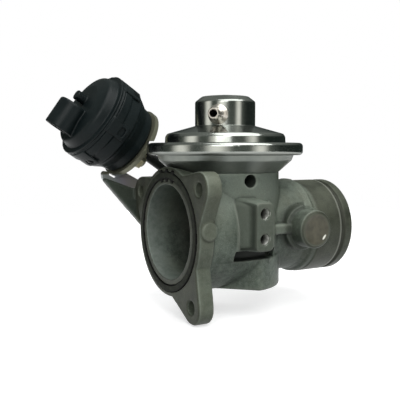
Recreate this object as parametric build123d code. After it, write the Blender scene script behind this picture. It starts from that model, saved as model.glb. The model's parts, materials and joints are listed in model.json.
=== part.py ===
from build123d import *
import math
import os

# EGR valve with a throttle flap, both worked by vacuum, for a diesel intake.
#
# Frame: millimetres, +Z up. The origin is the centre of the main passage on the
# mounting flange. +X runs along the passage to the hose spigot, -Y is the side
# with the mounting pad, and the valve stem stands along +Z.

# ---------------------------------------------------------------- sizes

# running and seating clearances, on the radius
stem_clearance = 0.05
shaft_clearance = 0.04
seat_clearance = 0.07
flap_clearance = 0.3
bolt_clearance = 0.3

# main passage
bore_radius = 23.4
pipe_radius = 30.0
pipe_end_x = 42.0
neck_radius = 23.6
neck_start_x = 48.5
neck_end_x = 68.0
flap_bore_radius = 20.5
flap_bore_start_x = 48.5
mouth_radius = 23.0
mouth_depth = 14.0
flap_bore_end_x = 76.0

# hose spigot, turned a little below the line of the main passage
spigot_drop = 1.3
spigot_start_x = 72.0
spigot_end_x = 97.2
spigot_radius = 24.5
spigot_bore_radius = 21.5
spigot_cast_radius = 24.2
spigot_seat_x = 75.0
spigot_groove_x = 89.5
spigot_groove_width = 2.6
spigot_groove_depth = 0.9

# mounting flange
flange_thickness = 8.0
flange_radius = 31.4
lug_radius = 8.0
lug_root_radius = 25.0
flange_hole_radius = 3.3
flange_holes = ((-30.5, 21.9), (30.0, 17.6), (-23.5, -32.5))
seal_groove_inner = 25.7
seal_groove_outer = 29.1
seal_groove_depth = 2.6
seal_stand = 0.5
seal_gap = 0.2
seal_tab_width = 2.8
seal_tab_reach = 1.3
seal_tab_angles = (78, 90, 102)

# valve tower and exhaust port under it
tower_x = 33.0
tower_radius = 27.0
tower_top = 28.5
tower_bottom = -28.0
port_block_radius = 27.5
port_block_top = -12.0
port_half_width = 17.0
port_turn = -45.0
port_radius = 9.5
port_bolt_reach = 22.0
port_bolt_tap_radius = 2.5
port_bolt_depth = 7.5
pedestal_radius = 14.0
pedestal_top = -19.5
pocket_top = -7.6
pocket_height = 4.9
pocket_depth = 3.2
side_hole_z = 24.8
side_hole_x = 30.5
side_hole_radius = 3.0
side_hole_depth = 12.0

# mounting pad on the front
pad_x = 28.2
pad_z = 4.85
pad_width = 9.9
pad_height = 22.1
pad_corner = 2.4
pad_face_y = -42.0
pad_root_y = -24.0
pad_draft = 5.0
pad_hole_pitch = 11.5
pad_hole_z = 5.05
pad_hole_radius = 2.5
pad_hole_depth = 14.0
rib_top = 3.7
rib_bottom = -1.2
rib_end_x = 56.0
rib_front_y = -28.4
bump_x = 5.2
bump_z = 3.0
bump_radius = 4.2
bump_stand = 1.2

# throttle flap and its shaft
shaft_x = 63.0
shaft_z = 1.0
shaft_radius = 4.0
shaft_boss_radius = 9.3
shaft_base_radius = 11.2
shaft_base_y = 26.5
front_boss_y = 36.0
rear_boss_y = 38.5
bush_radius = 5.5
bush_length = 11.0
plug_radius = 7.8
plug_depth = 3.0
flap_radius = flap_bore_radius - flap_clearance
flap_thickness = 2.0
flap_offset = shaft_z
flap_screw_reach = 9.0
flap_screw_radius = 2.0
washer_thickness = 1.0
axial_play = 0.1
washer_radius = 8.0
lever_thickness = 3.0
lever_reach = 10.0
lever_eye_radius = 6.0
lever_hub_radius = 8.0
lever_seat_radius = 3.0
shaft_nut_height = 3.0
shaft_nut_width = 10.0
pin_radius = 2.5
flap_travel = 80.0

# exhaust valve
stem_radius = 3.0
head_radius = 10.5
head_edge = 1.4
insert_radius = 12.5
insert_height = 6.0
insert_bore_radius = 8.5
insert_chamfer = 2.2
guide_radius = 5.5
guide_bottom = 8.0
guide_boss_radius = 8.5
guide_boss_bottom = 10.0
tower_recess_radius = 18.0
tower_recess_depth = 2.0
seal_cap_radius = 6.6
seal_cap_height = 5.0
stem_collar_radius = 5.0
stem_collar_height = 1.5

# vacuum can of the exhaust valve
can_wall = 1.2
can_base_step = 0.4
can_rim_radius = 38.8
can_rim_bottom = 36.9
can_rim_top = 42.9
can_roll_width = 3.8
can_lip_width = 3.6
can_dish_wall = 1.4
can_dish_gap = 0.6
can_groove_width = 3.6
can_groove_floor = 41.7
can_ring_top = 47.5
can_cap_radius = 15.1
can_cap_base = 51.5
can_top = 66.6
can_bend = 0.9
nipple_z = 56.5
nipple_heading = 225.0
nipple_tip_reach = 24.6
nipple_radius = 2.3
nipple_bead_radius = 2.85
nipple_bore_radius = 1.9
nipple_collar_radius = 4.9
plate_radius_low = 24.0
plate_side_gap = 0.6
plate_thickness = 1.2
membrane = 1.0
can_nut_width = 10.0
can_nut_height = 4.0
can_spring_gap = 0.3
can_spring_wire = 1.6
can_spring_turns = 4.5
can_screw_reach = 22.0
can_screw_radius = 2.0
can_screw_depth = 8.0
can_screw_head = 1.8
can_screw_count = 3

# throttle actuator, in its own frame: its height runs from rim to dome
actuator_centre = (-17.0, 40.0, 53.8)
actuator_tilt = 32.7
actuator_yaw = 5.5
case_wall = 2.0
case_rim_top = 7.3
case_split = 4.6
case_band_radius = 22.9
case_rim_step = 0.5
case_rebate = 0.8
case_rim_bottom = -8.4
case_waist_radius = 19.2
case_waist = -12.8
case_foot_radius = 18.6
case_foot = -19.0
dome_base_radius = 21.0
dome_shoulder_radius = 19.4
dome_shoulder = 11.4
dome_top_radius = 13.6
dome_top = 14.0
clip_count = 6
clip_width = 8.0
clip_height = 9.5
clip_stand = 0.6
snout_height = 18.2
snout_radius = 7.6
snout_wall = 1.8
snout_top = -1.3
snout_end = 5.0
snout_bottom = -16.0
snout_lean = 8.0
snout_side = 2.8
peg_radius = 2.6
port_pipe_radius = 2.3
port_pipe_bore_radius = 1.2
port_pipe_lead = 1.0
peg_reach = 3.6
cup_radius = 13.8
cup_wall = 1.2
cup_rest = -5.3
rod_radius = 3.0
rod_joggle_start = 58.0
rod_joggle_length = 16.0
rod_bend = 14.0
rod_bush_radius = 5.0
guide_neck_length = 8.0
guide_neck_wall = 2.0
rod_spring_gap = 0.7
rod_spring_wire = 0.9
rod_spring_turns = 3.0
stud_reach = 12.5
stud_turn = -35.0
stud_radius = 2.5
stud_depth = 5.0
stud_wall = 2.5
stud_end = 1.5
stud_nut_width = 8.0
stud_nut_height = 4.0
eye_radius = 7.5
eye_thickness = 4.0
eye_sleeve_radius = 4.2
eye_sleeve_length = 13.0
eye_slot_width = 5.7
eye_slot_length = 8.0
pin_head_radius = 4.2
pin_head_height = 1.8

# actuator bracket and the cast arm that carries it
bracket_wall = 2.5
seat_radius = 19.8
arm_front_y = 37.5
arm_back_y = 42.5
arm_screw_radius = 3.0
arm_screw_depth = 12.0
arm_screw_head = 10.0
arm_screw_head_height = 4.0
arm_screws = ((11.0, 11.0), (20.5, 3.0))
arm_foot = (28.0, -6.0, 16.5)
arm_outline = ((-16.2, 24.8), (0.7, 18.6), (24.0, 16.0), (28.0, -6.0), (9.0, -6.0), (-16.8, 23.6))
bracket_outline = (
    (-15.8, 23.8),
    (1.0, 14.0),
    (12.0, -2.0),
    (25.0, -3.5),
    (27.0, 8.0),
    (18.0, 18.5),
    (5.0, 23.0),
    (-7.2, 29.5),
    (-12.9, 27.6),
    (-16.6, 29.4),
)
bracket_slot = (-10.4, 25.8)
bracket_slot_length = 4.5
bracket_slot_width = 1.4
bracket_slot_turn = 28.0
bracket_hole = (-7.6, 26.4)
bracket_hole_radius = 0.9

# ---------------------------------------------------------------- helpers

BASE = (Align.CENTER, Align.CENTER, Align.MIN)

def turned(points):
    """Solid of revolution about Z from (radius, height) points."""
    outline = Polyline(*[(radius, 0, height) for radius, height in points], close=True)
    return revolve(make_face(outline), Axis.Z)


def pressed(points, wall, bend):
    """Sheet-metal or rubber shell turned about Z; the (radius, height) points run
    along the middle of its wall."""
    path = FilletPolyline(*points, radius=bend)
    return revolve(Plane.XZ * trace(path, wall), Axis.Z)


def rod_x(radius, start, end, y=0.0, z=0.0):
    """Cylinder along +X."""
    return Pos(start, y, z) * Rot(0, 90, 0) * Cylinder(radius, end - start, align=BASE)


def rod_y(radius, start, end, x=0.0, z=0.0):
    """Cylinder along +Y."""
    return Pos(x, start, z) * Rot(-90, 0, 0) * Cylinder(radius, end - start, align=BASE)


def rod_z(radius, start, end, x=0.0, y=0.0):
    """Cylinder along +Z."""
    return Pos(x, y, start) * Cylinder(radius, end - start, align=BASE)


def block(x0, x1, y0, y1, z0, z1):
    """Box between two corners."""
    size = Box(x1 - x0, y1 - y0, z1 - z0, align=(Align.MIN, Align.MIN, Align.MIN))
    return Pos(x0, y0, z0) * size


def hex_nut(width, height, bore):
    """Hexagon nut standing on z = 0; the width is across the flats."""
    nut = extrude(RegularPolygon(width / 2, 6, major_radius=False), height)
    return nut - rod_z(bore, -1, height + 1)


def coil(radius, wire, bottom, top, turns):
    """Compression spring about Z between two heights."""
    height = top - bottom - 2 * wire
    path = Helix(pitch=height / turns, height=height, radius=radius)
    section = Plane(path @ 0, z_dir=path % 0) * Circle(wire)
    return Pos(0, 0, bottom + wire) * sweep(section, path=path, is_frenet=True)


def screw(shank_radius, length, head_width, head_height):
    """Hexagon screw with its head standing on z = 0 and its shank below."""
    head = extrude(RegularPolygon(head_width / 2, 6, major_radius=False), head_height)
    return head + rod_z(shank_radius, -length, 0)


# ---------------------------------------------------------------- places

tower = Pos(tower_x, 0, 0)
can_base_radius = tower_radius - can_base_step
can_dish_radius = can_rim_radius - can_roll_width - can_dish_gap
can_lip_radius = can_rim_radius - can_lip_width
can_ring_radius = can_lip_radius - can_groove_width - can_wall
plate_radius_high = can_cap_radius - can_wall - plate_side_gap
can_spring_radius = plate_radius_high - plate_thickness - can_spring_gap - can_spring_wire
port_frame = tower * Rot(0, 0, port_turn)

tilt = math.radians(actuator_tilt)
yaw = math.radians(actuator_yaw)
actuator_axis = Vector(
    -math.cos(tilt) * math.cos(yaw), -math.sin(yaw), math.sin(tilt) * math.cos(yaw)
)
actuator_up = Vector(0, 1, 0).cross(actuator_axis).normalized()
actuator = Location(Plane(actuator_centre, x_dir=actuator_up, z_dir=actuator_axis))

# The lever stands square to the rod half way through the flap's travel.
half_travel = math.radians(flap_travel / 2)
lever_angle = math.atan2(actuator_up.Z, actuator_up.X) - half_travel
pin_x = shaft_x + lever_reach * math.cos(lever_angle)
pin_z = shaft_z + lever_reach * math.sin(lever_angle)


def along_actuator(x, z):
    """Distances of a point of the XZ plane up from, and along, the actuator's axis."""
    dx = x - actuator_centre[0]
    dz = z - actuator_centre[2]
    flat = actuator_axis.X**2 + actuator_axis.Z**2
    up = dx * actuator_up.X + dz * actuator_up.Z
    along = (dx * actuator_axis.X + dz * actuator_axis.Z) / flat
    return up, along


# The rod's far end runs midway between the pin's nearest and farthest lines.
shaft_up = along_actuator(shaft_x, shaft_z)[0]
pin_along = along_actuator(pin_x, pin_z)[1]
rod_joggle = shaft_up + lever_reach * (1 + math.cos(half_travel)) / 2
eye_centre = actuator * Pos(rod_joggle, 0, pin_along)
eye_x = eye_centre.position.X
eye_y = eye_centre.position.Y
eye_z = eye_centre.position.Z

nodes = {}


# ---------------------------------------------------------------- housing


def flange_body():
    outline = Circle(flange_radius)
    root = Circle(lug_root_radius).edges()
    for y, z in flange_holes:
        lug = Pos(y, z) * Circle(lug_radius)
        outline += make_hull(lug.edges() + root)
    body = extrude(Plane.YZ * outline, flange_thickness)
    body = chamfer(body.faces().sort_by(Axis.X)[0].edges(), 0.6)
    return body


def passage_body():
    """Pipe, tapered neck and flared root of the spigot, as one turned shape."""
    body = Rot(0, 90, 0) * turned(
        [
            (0, 0),
            (pipe_radius, 0),
            (pipe_radius, pipe_end_x),
            (neck_radius, neck_start_x),
            (neck_radius, neck_end_x),
            (spigot_radius, spigot_start_x),
            (0, spigot_start_x),
        ]
    )
    reach = spigot_end_x
    machined = block(-1, reach, -reach, reach, tower_bottom, tower_top - 1)
    return body & machined


def spigot_body():
    lip = spigot_end_x - spigot_groove_x - spigot_groove_width
    groove = spigot_radius - spigot_groove_depth
    points = [
        (0, 0),
        (0, spigot_end_x - neck_end_x),
        (spigot_radius - 0.8, spigot_end_x - neck_end_x),
        (spigot_radius, spigot_end_x - neck_end_x - 0.8),
        (spigot_radius, spigot_end_x - neck_end_x - lip),
        (groove, spigot_end_x - neck_end_x - lip - 0.5),
        (groove, spigot_groove_x - neck_end_x + 0.5),
        (spigot_radius, spigot_groove_x - neck_end_x),
        (spigot_radius, spigot_seat_x - neck_end_x),
        (spigot_cast_radius, spigot_seat_x - neck_end_x),
        (spigot_cast_radius, spigot_start_x - neck_end_x),
        (spigot_cast_radius - 1.5, spigot_start_x - neck_end_x - 2.0),
        (spigot_cast_radius - 1.5, 0),
    ]
    return Pos(neck_end_x, 0, -spigot_drop) * Rot(0, 90, 0) * turned(points)


def port_block():
    """Foot of the tower: a round block with two flats, like a two-bolt flange."""
    across = 2 * port_block_radius
    outline = Circle(port_block_radius) & Rectangle(across, 2 * port_half_width)
    height = port_block_top - tower_bottom
    foot = extrude(fillet(outline.vertices(), 3.0), height)
    foot = chamfer(foot.faces().sort_by(Axis.Z)[0].edges(), 0.8)
    return Pos(0, 0, tower_bottom) * port_frame * foot


def front_pad():
    """Rectangular mounting pad with drafted sides."""
    face = RectangleRounded(pad_width, pad_height, pad_corner)
    body = extrude(face, pad_root_y - pad_face_y, taper=-pad_draft)
    body = fillet(body.faces().sort_by(Axis.Z)[0].edges(), 0.6)
    return Pos(pad_x, pad_face_y, pad_z) * Rot(-90, 0, 0) * body


def flap_bosses():
    """Front and rear bosses that carry the flap's shaft."""
    front_base = rod_y(shaft_base_radius, -shaft_base_y, 0, shaft_x, shaft_z)
    front = rod_y(shaft_boss_radius, -front_boss_y, 0, shaft_x, shaft_z)
    front = chamfer(front.faces().sort_by(Axis.Y)[0].edges(), 0.8)
    rear_base = rod_y(shaft_base_radius, 0, shaft_base_y, shaft_x, shaft_z)
    rear = rod_y(shaft_boss_radius, 0, rear_boss_y, shaft_x, shaft_z)
    rear = chamfer(rear.faces().sort_by(Axis.Y)[-1].edges(), 0.8)
    return front_base + front + rear_base + rear


def actuator_arm():
    """Cast web behind the flange that holds the actuator's bracket."""
    outline = make_face(Polyline(*arm_outline, close=True))
    web = extrude(outline, arm_back_y - arm_front_y)
    web = Pos(0, arm_back_y, 0) * Rot(90, 0, 0) * web
    end_x, bottom, top = arm_foot
    foot = block(flange_thickness, end_x, shaft_base_radius, arm_back_y, bottom, top)
    foot = fillet(foot.edges().filter_by(Axis.Y), 2.0)
    return web + foot


def housing_body():
    body = flange_body() + passage_body() + spigot_body()
    body += rod_z(tower_radius, port_block_top, tower_top, tower_x) + port_block()
    body += front_pad() + flap_bosses() + actuator_arm()
    rib_x = pad_x + pad_width / 2 - 1
    rib = block(rib_x, rib_end_x, rib_front_y, -neck_radius + 4, rib_bottom, rib_top)
    body += fillet(rib.edges().filter_by(Axis.X).group_by(Axis.Y)[0], 1.2)
    body += rod_y(bump_radius, -flange_radius - bump_stand, -bore_radius - 2, bump_x, bump_z)
    return body


def seal_shape(start, end, gap):
    """Ring of the flange seal with its locating tabs, shrunk by a gap all round."""
    ring = rod_x(seal_groove_outer - gap, start, end) - rod_x(seal_groove_inner + gap, start, end)
    half = seal_tab_width / 2 - gap
    low = seal_groove_inner - seal_tab_reach + gap
    high = seal_groove_outer + seal_tab_reach - gap
    for angle in seal_tab_angles:
        ring += Rot(angle - 90, 0, 0) * block(start, end, -half, half, low, high)
    return ring


def housing_cuts():
    """Everything that is bored, tapped or cored out of the casting."""
    passage = Rot(0, 90, 0) * turned(
        [
            (0, -1),
            (mouth_radius, -1),
            (mouth_radius, mouth_depth),
            (bore_radius, mouth_depth),
            (bore_radius, flap_bore_start_x - 3),
            (flap_bore_radius, flap_bore_start_x),
            (flap_bore_radius, flap_bore_end_x),
            (0, flap_bore_end_x),
        ]
    )
    cuts = [passage]
    cuts.append(rod_x(spigot_bore_radius, flap_bore_end_x, spigot_end_x + 1, z=-spigot_drop))
    cuts.append(seal_shape(-1, seal_groove_depth, 0))
    for y, z in flange_holes:
        cuts.append(rod_x(flange_hole_radius, -1, flange_thickness + 1, y, z))

    # pad, tower and port screw holes
    for side in (-1, 1):
        z = pad_hole_z + side * pad_hole_pitch / 2
        cuts.append(rod_y(pad_hole_radius, pad_face_y - 1, pad_face_y + pad_hole_depth, pad_x, z))
        hole = rod_z(port_bolt_tap_radius, -1, port_bolt_depth, x=side * port_bolt_reach)
        cuts.append(Pos(0, 0, tower_bottom) * port_frame * hole)
    cuts.append(
        rod_y(side_hole_radius, -tower_radius - 2, side_hole_depth - tower_radius, side_hole_x, side_hole_z)
    )

    # shallow slot under the pad, between the pipe and the foot of the tower
    slot_ring = rod_z(tower_radius + 8, pocket_top - pocket_height, pocket_top, tower_x)
    slot_ring -= rod_z(tower_radius - pocket_depth, pocket_top - 9, pocket_top + 1, tower_x)
    slot_window = block(tower_x - 12.0, tower_x + 13.5, -50.0, -15.0, -20.0, 0.0)
    cuts.append(slot_ring & slot_window)

    # room for the can's cone, and the recess on top of the tower
    cuts.append(
        tower
        * turned(
            [
                (0, tower_top),
                (can_base_radius + 1.2, tower_top),
                (can_rim_radius, can_rim_bottom - 1.0),
                (0, can_rim_bottom - 1.0),
            ]
        )
    )
    cuts.append(rod_z(tower_recess_radius, tower_top - tower_recess_depth, tower_top + 1, tower_x))

    # shaft bore, plug seat and the small cored notch above the boss
    cuts.append(rod_y(bush_radius, -front_boss_y - 1, rear_boss_y + 1, shaft_x, shaft_z))
    cuts.append(rod_y(plug_radius, -front_boss_y - 1, plug_depth - front_boss_y, shaft_x, shaft_z))
    notch = Pos(shaft_x + 2.7, -shaft_base_y + 2, shaft_z + shaft_base_radius) * Box(4.5, 10.0, 3.2)
    cuts.append(notch)

    for x, z in arm_screws:
        cuts.append(rod_y(arm_screw_radius, arm_back_y - arm_screw_depth, arm_back_y + 1, x, z))
    return cuts


def make_housing():
    body = housing_body() - housing_cuts()

    # the guide boss and the seat pedestal stand inside the passage
    boss = rod_z(guide_boss_radius, guide_boss_bottom, tower_top - tower_recess_depth, tower_x)
    pedestal = rod_z(pedestal_radius, tower_bottom + 1, pedestal_top, tower_x)
    body += chamfer(boss.faces().sort_by(Axis.Z)[0].edges(), 1.5)
    body += pedestal
    body -= rod_z(guide_radius, guide_boss_bottom - 3, tower_top + 1, tower_x)
    body -= rod_z(insert_radius, pedestal_top - insert_height, pedestal_top + 1, tower_x)
    body -= rod_z(port_radius, tower_bottom - 1, pedestal_top, tower_x)
    return body


nodes["housing"] = make_housing()


nodes["flange_seal"] = seal_shape(-seal_stand, seal_groove_depth, seal_gap)

# ---------------------------------------------------------------- exhaust valve

insert_bottom = pedestal_top - insert_height
nodes["valve_seat_insert"] = tower * turned(
    [
        (insert_bore_radius, insert_bottom),
        (insert_radius, insert_bottom),
        (insert_radius, pedestal_top),
        (insert_bore_radius + insert_chamfer, pedestal_top),
        (insert_bore_radius, pedestal_top - insert_chamfer),
    ]
)

guide_top = tower_top - tower_recess_depth + 1.5
nodes["stem_guide"] = tower * turned(
    [
        (stem_radius + stem_clearance, guide_bottom),
        (guide_radius - 1.0, guide_bottom),
        (guide_radius, guide_bottom + 1.0),
        (guide_radius, guide_top),
        (stem_radius + stem_clearance, guide_top),
    ]
)

seal_cap_bottom = tower_top - tower_recess_depth
nodes["stem_seal"] = tower * turned(
    [
        (guide_radius, seal_cap_bottom),
        (seal_cap_radius, seal_cap_bottom),
        (seal_cap_radius, seal_cap_bottom + seal_cap_height - 1.0),
        (seal_cap_radius - 1.0, seal_cap_bottom + seal_cap_height),
        (stem_radius + stem_clearance, seal_cap_bottom + seal_cap_height),
        (stem_radius + stem_clearance, guide_top),
        (guide_radius, guide_top),
    ]
)

# The crimped rim of the cap clamps the dish and the membrane's bead, which sets
# the height at which the membrane is held; its plates sit on it.
dish_edge = can_rim_bottom + can_wall + can_dish_wall / 2
bead_bottom = dish_edge + can_dish_wall / 2
bead_top = can_rim_top - can_wall
membrane_z = (bead_bottom + can_groove_floor - can_wall) / 2
low_plate_bottom = membrane_z - membrane / 2 - plate_thickness
high_plate_top = membrane_z + membrane / 2 + plate_thickness
collar_bottom = low_plate_bottom - stem_collar_height
stem_top = high_plate_top + can_nut_height + 1.0

# cone of the head, held off the seat's cone by the seat clearance
cone_offset = insert_bore_radius + insert_chamfer - pedestal_top - seat_clearance * math.sqrt(2)
head_low_radius = insert_bore_radius + 0.1
head_cone_top = head_radius - cone_offset
nodes["poppet_valve"] = tower * turned(
    [
        (0, head_low_radius - cone_offset),
        (head_low_radius, head_low_radius - cone_offset),
        (head_radius, head_cone_top),
        (head_radius, head_cone_top + head_edge),
        (stem_radius + 2.0, head_cone_top + head_edge + 1.2),
        (stem_radius, head_cone_top + head_edge + 3.6),
        (stem_radius, collar_bottom),
        (stem_collar_radius, collar_bottom),
        (stem_collar_radius, low_plate_bottom),
        (stem_radius, low_plate_bottom),
        (stem_radius, stem_top - 0.6),
        (stem_radius - 0.6, stem_top),
        (0, stem_top),
    ]
)

# ---------------------------------------------------------------- vacuum can

half_wall = can_wall / 2
half_dish = can_dish_wall / 2
rim_inner_radius = can_rim_radius - can_wall
nodes["can_lower_shell"] = tower * pressed(
    [
        (seal_cap_radius + 1.4, tower_top + half_dish),
        (can_base_radius, tower_top + half_dish),
        (can_dish_radius - half_dish - 1.0, can_rim_bottom - 2.2),
        (can_dish_radius - half_dish, can_rim_bottom + 0.4),
        (can_dish_radius - half_dish, dish_edge),
        (rim_inner_radius - 0.7, dish_edge),
    ],
    can_dish_wall,
    0.75,
)

# one drawn piece: cap, step, groove and the rim rolled under the dish
nodes["can_upper_shell"] = tower * (
    pressed(
        [
            (0.0, can_top - half_wall),
            (4.0, can_top - half_wall),
            (can_cap_radius - 3.6, can_top - 1.3),
            (can_cap_radius - half_wall, can_top - 3.6),
            (can_cap_radius - half_wall, can_cap_base - half_wall),
            (can_ring_radius - 1.6, can_ring_top - half_wall),
            (can_ring_radius - 0.9, can_ring_top - 1.8),
            (can_ring_radius - half_wall, can_groove_floor - half_wall),
            (can_lip_radius - can_wall, can_groove_floor - half_wall),
            (can_lip_radius, can_rim_top - half_wall),
            (can_rim_radius - half_wall, can_rim_top - half_wall),
            (can_rim_radius - half_wall, can_rim_bottom + half_wall),
            (can_rim_radius - can_roll_width, can_rim_bottom + half_wall),
        ],
        can_wall,
        [can_bend, can_bend, can_bend, 0.7, can_bend, 0.7, 0.7, 0.7, 0.65, 1.2, 1.2],
    )
    - Pos(0, 0, nipple_z) * Rot(0, 0, nipple_heading) * rod_x(nipple_radius, 0, can_rim_radius)
)

nipple_frame = tower * Pos(0, 0, nipple_z) * Rot(0, 0, nipple_heading) * Rot(0, 90, 0)


def can_nipple():
    """Hose nipple with a stop bead, brazed to the cap over a formed collar."""
    tube = turned(
        [
            (nipple_bore_radius, can_cap_radius - 2.5),
            (nipple_radius, can_cap_radius - 2.5),
            (nipple_radius, nipple_tip_reach - 3.2),
            (nipple_bead_radius, nipple_tip_reach - 2.2),
            (nipple_bead_radius, nipple_tip_reach - 0.7),
            (nipple_bead_radius - 0.4, nipple_tip_reach),
            (nipple_bore_radius, nipple_tip_reach),
        ]
    )
    collar = turned(
        [
            (nipple_radius, can_cap_radius - 2.0),
            (nipple_collar_radius, can_cap_radius - 2.0),
            (nipple_collar_radius, can_cap_radius + 0.2),
            (nipple_collar_radius - 0.8, can_cap_radius + 1.0),
            (nipple_radius + 0.9, can_cap_radius + 1.8),
            (nipple_radius, can_cap_radius + 3.0),
        ]
    )
    cap = tower * rod_z(can_cap_radius, can_cap_base, can_top)
    return nipple_frame * tube + (nipple_frame * collar - cap)


nodes["can_nipple"] = can_nipple()

nodes["can_diaphragm"] = tower * (
    pressed(
        [
            (stem_radius + 0.1, membrane_z),
            (plate_radius_low + 0.6, membrane_z),
            (plate_radius_low + 2.2, membrane_z - 4.0),
            (can_ring_radius - 2.4, membrane_z - 4.6),
            (can_ring_radius - 0.4, membrane_z - 4.0),
            (can_ring_radius + 1.2, membrane_z),
            (rim_inner_radius - 1.0, membrane_z),
        ],
        membrane,
        1.2,
    )
    + turned(
        [
            (rim_inner_radius - 1.8, bead_bottom),
            (rim_inner_radius - 0.1, bead_bottom),
            (rim_inner_radius - 0.1, bead_top - 0.3),
            (rim_inner_radius - 1.8, bead_top - 0.3),
        ]
    )
)

low_plate_middle = membrane_z - membrane / 2 - plate_thickness / 2
high_plate_middle = membrane_z + membrane / 2 + plate_thickness / 2
nodes["diaphragm_plate_lower"] = tower * pressed(
    [
        (stem_radius, low_plate_middle),
        (plate_radius_low - 1.6, low_plate_middle),
        (plate_radius_low - 0.6, low_plate_middle - 1.6),
    ],
    plate_thickness,
    0.7,
)
nodes["diaphragm_plate_upper"] = tower * pressed(
    [
        (stem_radius, high_plate_middle),
        (plate_radius_high - 1.0, high_plate_middle),
        (plate_radius_high - 0.6, high_plate_middle + 2.4),
    ],
    plate_thickness,
    0.7,
)
nodes["stem_nut"] = tower * Pos(0, 0, high_plate_top) * hex_nut(can_nut_width, can_nut_height, stem_radius)
can_spring_top = can_top - can_wall - 1.3
nodes["can_spring"] = tower * coil(
    can_spring_radius, can_spring_wire, high_plate_top, can_spring_top, can_spring_turns
)

# ---------------------------------------------------------------- throttle flap

flap_frame = Pos(shaft_x, 0, shaft_z)

flap_plate = Pos(-flap_offset, 0, -flap_thickness / 2) * Cylinder(flap_radius, flap_thickness, align=BASE)
flap_plate = chamfer(flap_plate.faces().filter_by(Axis.Z).edges(), 0.3)
for side in (-1, 1):
    flap_plate -= rod_z(flap_screw_radius, -flap_thickness, flap_thickness, y=side * flap_screw_reach)
nodes["flap_disc"] = flap_frame * flap_plate

lever_seat_y = rear_boss_y + washer_thickness + axial_play
lever_back_y = lever_seat_y + lever_thickness
shaft_end_y = lever_back_y + shaft_nut_height + 0.3


def flap_shaft():
    """Shaft with a slot for the flap and a flatted, threaded end for the lever."""
    main = rod_y(shaft_radius, plug_depth - front_boss_y + 0.6, lever_seat_y)
    body = chamfer(main.faces().sort_by(Axis.Y)[0].edges(), 0.5)
    end = rod_y(lever_seat_radius, lever_seat_y, shaft_end_y)
    body += chamfer(end.faces().sort_by(Axis.Y)[-1].edges(), 0.5)
    flat = lever_seat_radius - 0.7
    body -= block(-shaft_radius, shaft_radius, lever_seat_y, lever_back_y, flat, shaft_radius)
    slot_half = flap_thickness / 2
    body -= block(-shaft_radius, shaft_radius, -flap_radius, flap_radius, -slot_half, slot_half)
    for side in (-1, 1):
        body -= rod_z(flap_screw_radius, -shaft_radius, shaft_radius, y=side * flap_screw_reach)
    return flap_frame * body


nodes["flap_shaft"] = flap_shaft()


def flap_screw():
    """Pan-head screw through the shaft and the flap, its tail peened flush."""
    head = rod_z(flap_screw_radius + 1.4, shaft_radius - 0.9, shaft_radius + 1.2)
    head = chamfer(head.faces().sort_by(Axis.Z)[-1].edges(), 0.5)
    slot = block(-4.0, 4.0, -0.4, 0.4, shaft_radius + 0.4, shaft_radius + 2.0)
    return head + rod_z(flap_screw_radius, 0.4 - shaft_radius, shaft_radius - 0.9) - slot


flap_screws = [flap_frame * Pos(0, side * flap_screw_reach, 0) * flap_screw() for side in (-1, 1)]
for screw_solid in flap_screws:
    nodes["flap_shaft"] -= screw_solid
nodes["flap_screws"] = Compound(children=flap_screws)


def shaft_bush(start, end):
    ring = rod_y(bush_radius, start, end) - rod_y(shaft_radius + shaft_clearance, start, end)
    return flap_frame * ring


nodes["shaft_bush_front"] = shaft_bush(plug_depth - front_boss_y, plug_depth - front_boss_y + bush_length)
nodes["shaft_bush_rear"] = shaft_bush(rear_boss_y - bush_length, rear_boss_y)

plug_cup = rod_y(plug_radius, 0, plug_depth) - rod_y(plug_radius - 1.0, -1, plug_depth - 1.0)
nodes["boss_plug"] = flap_frame * Pos(0, -front_boss_y, 0) * plug_cup

washer_end_y = rear_boss_y + washer_thickness
washer = rod_y(washer_radius, rear_boss_y, washer_end_y)
washer -= rod_y(shaft_radius + shaft_clearance, rear_boss_y, washer_end_y)
nodes["thrust_washer"] = flap_frame * washer


def lever():
    """Flat lever, drawn round the shaft in its rest position."""
    hub = Circle(lever_hub_radius)
    eye_place = Pos(pin_x - shaft_x, pin_z - shaft_z)
    eye = eye_place * Circle(lever_eye_radius)
    plate = make_hull(hub.edges() + eye.edges())
    plate -= eye_place * Circle(pin_radius)
    seat = Circle(lever_seat_radius) & Pos(0, -0.35) * Rectangle(
        2 * lever_seat_radius, 2 * lever_seat_radius - 0.7
    )
    plate -= seat
    return Pos(shaft_x, lever_back_y, shaft_z) * Rot(90, 0, 0) * extrude(plate, lever_thickness)


nodes["lever"] = lever()
nodes["lever_nut"] = (
    flap_frame
    * Pos(0, lever_back_y, 0)
    * Rot(-90, 0, 0)
    * hex_nut(shaft_nut_width, shaft_nut_height, lever_seat_radius)
)


# ---------------------------------------------------------------- throttle actuator

case_rim_radius = case_band_radius + case_rim_step
rebate_radius = case_band_radius - case_rebate
stud_places = [Rot(0, 0, stud_turn) * Pos(0, side * stud_reach, 0) for side in (-1, 1)]


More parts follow.
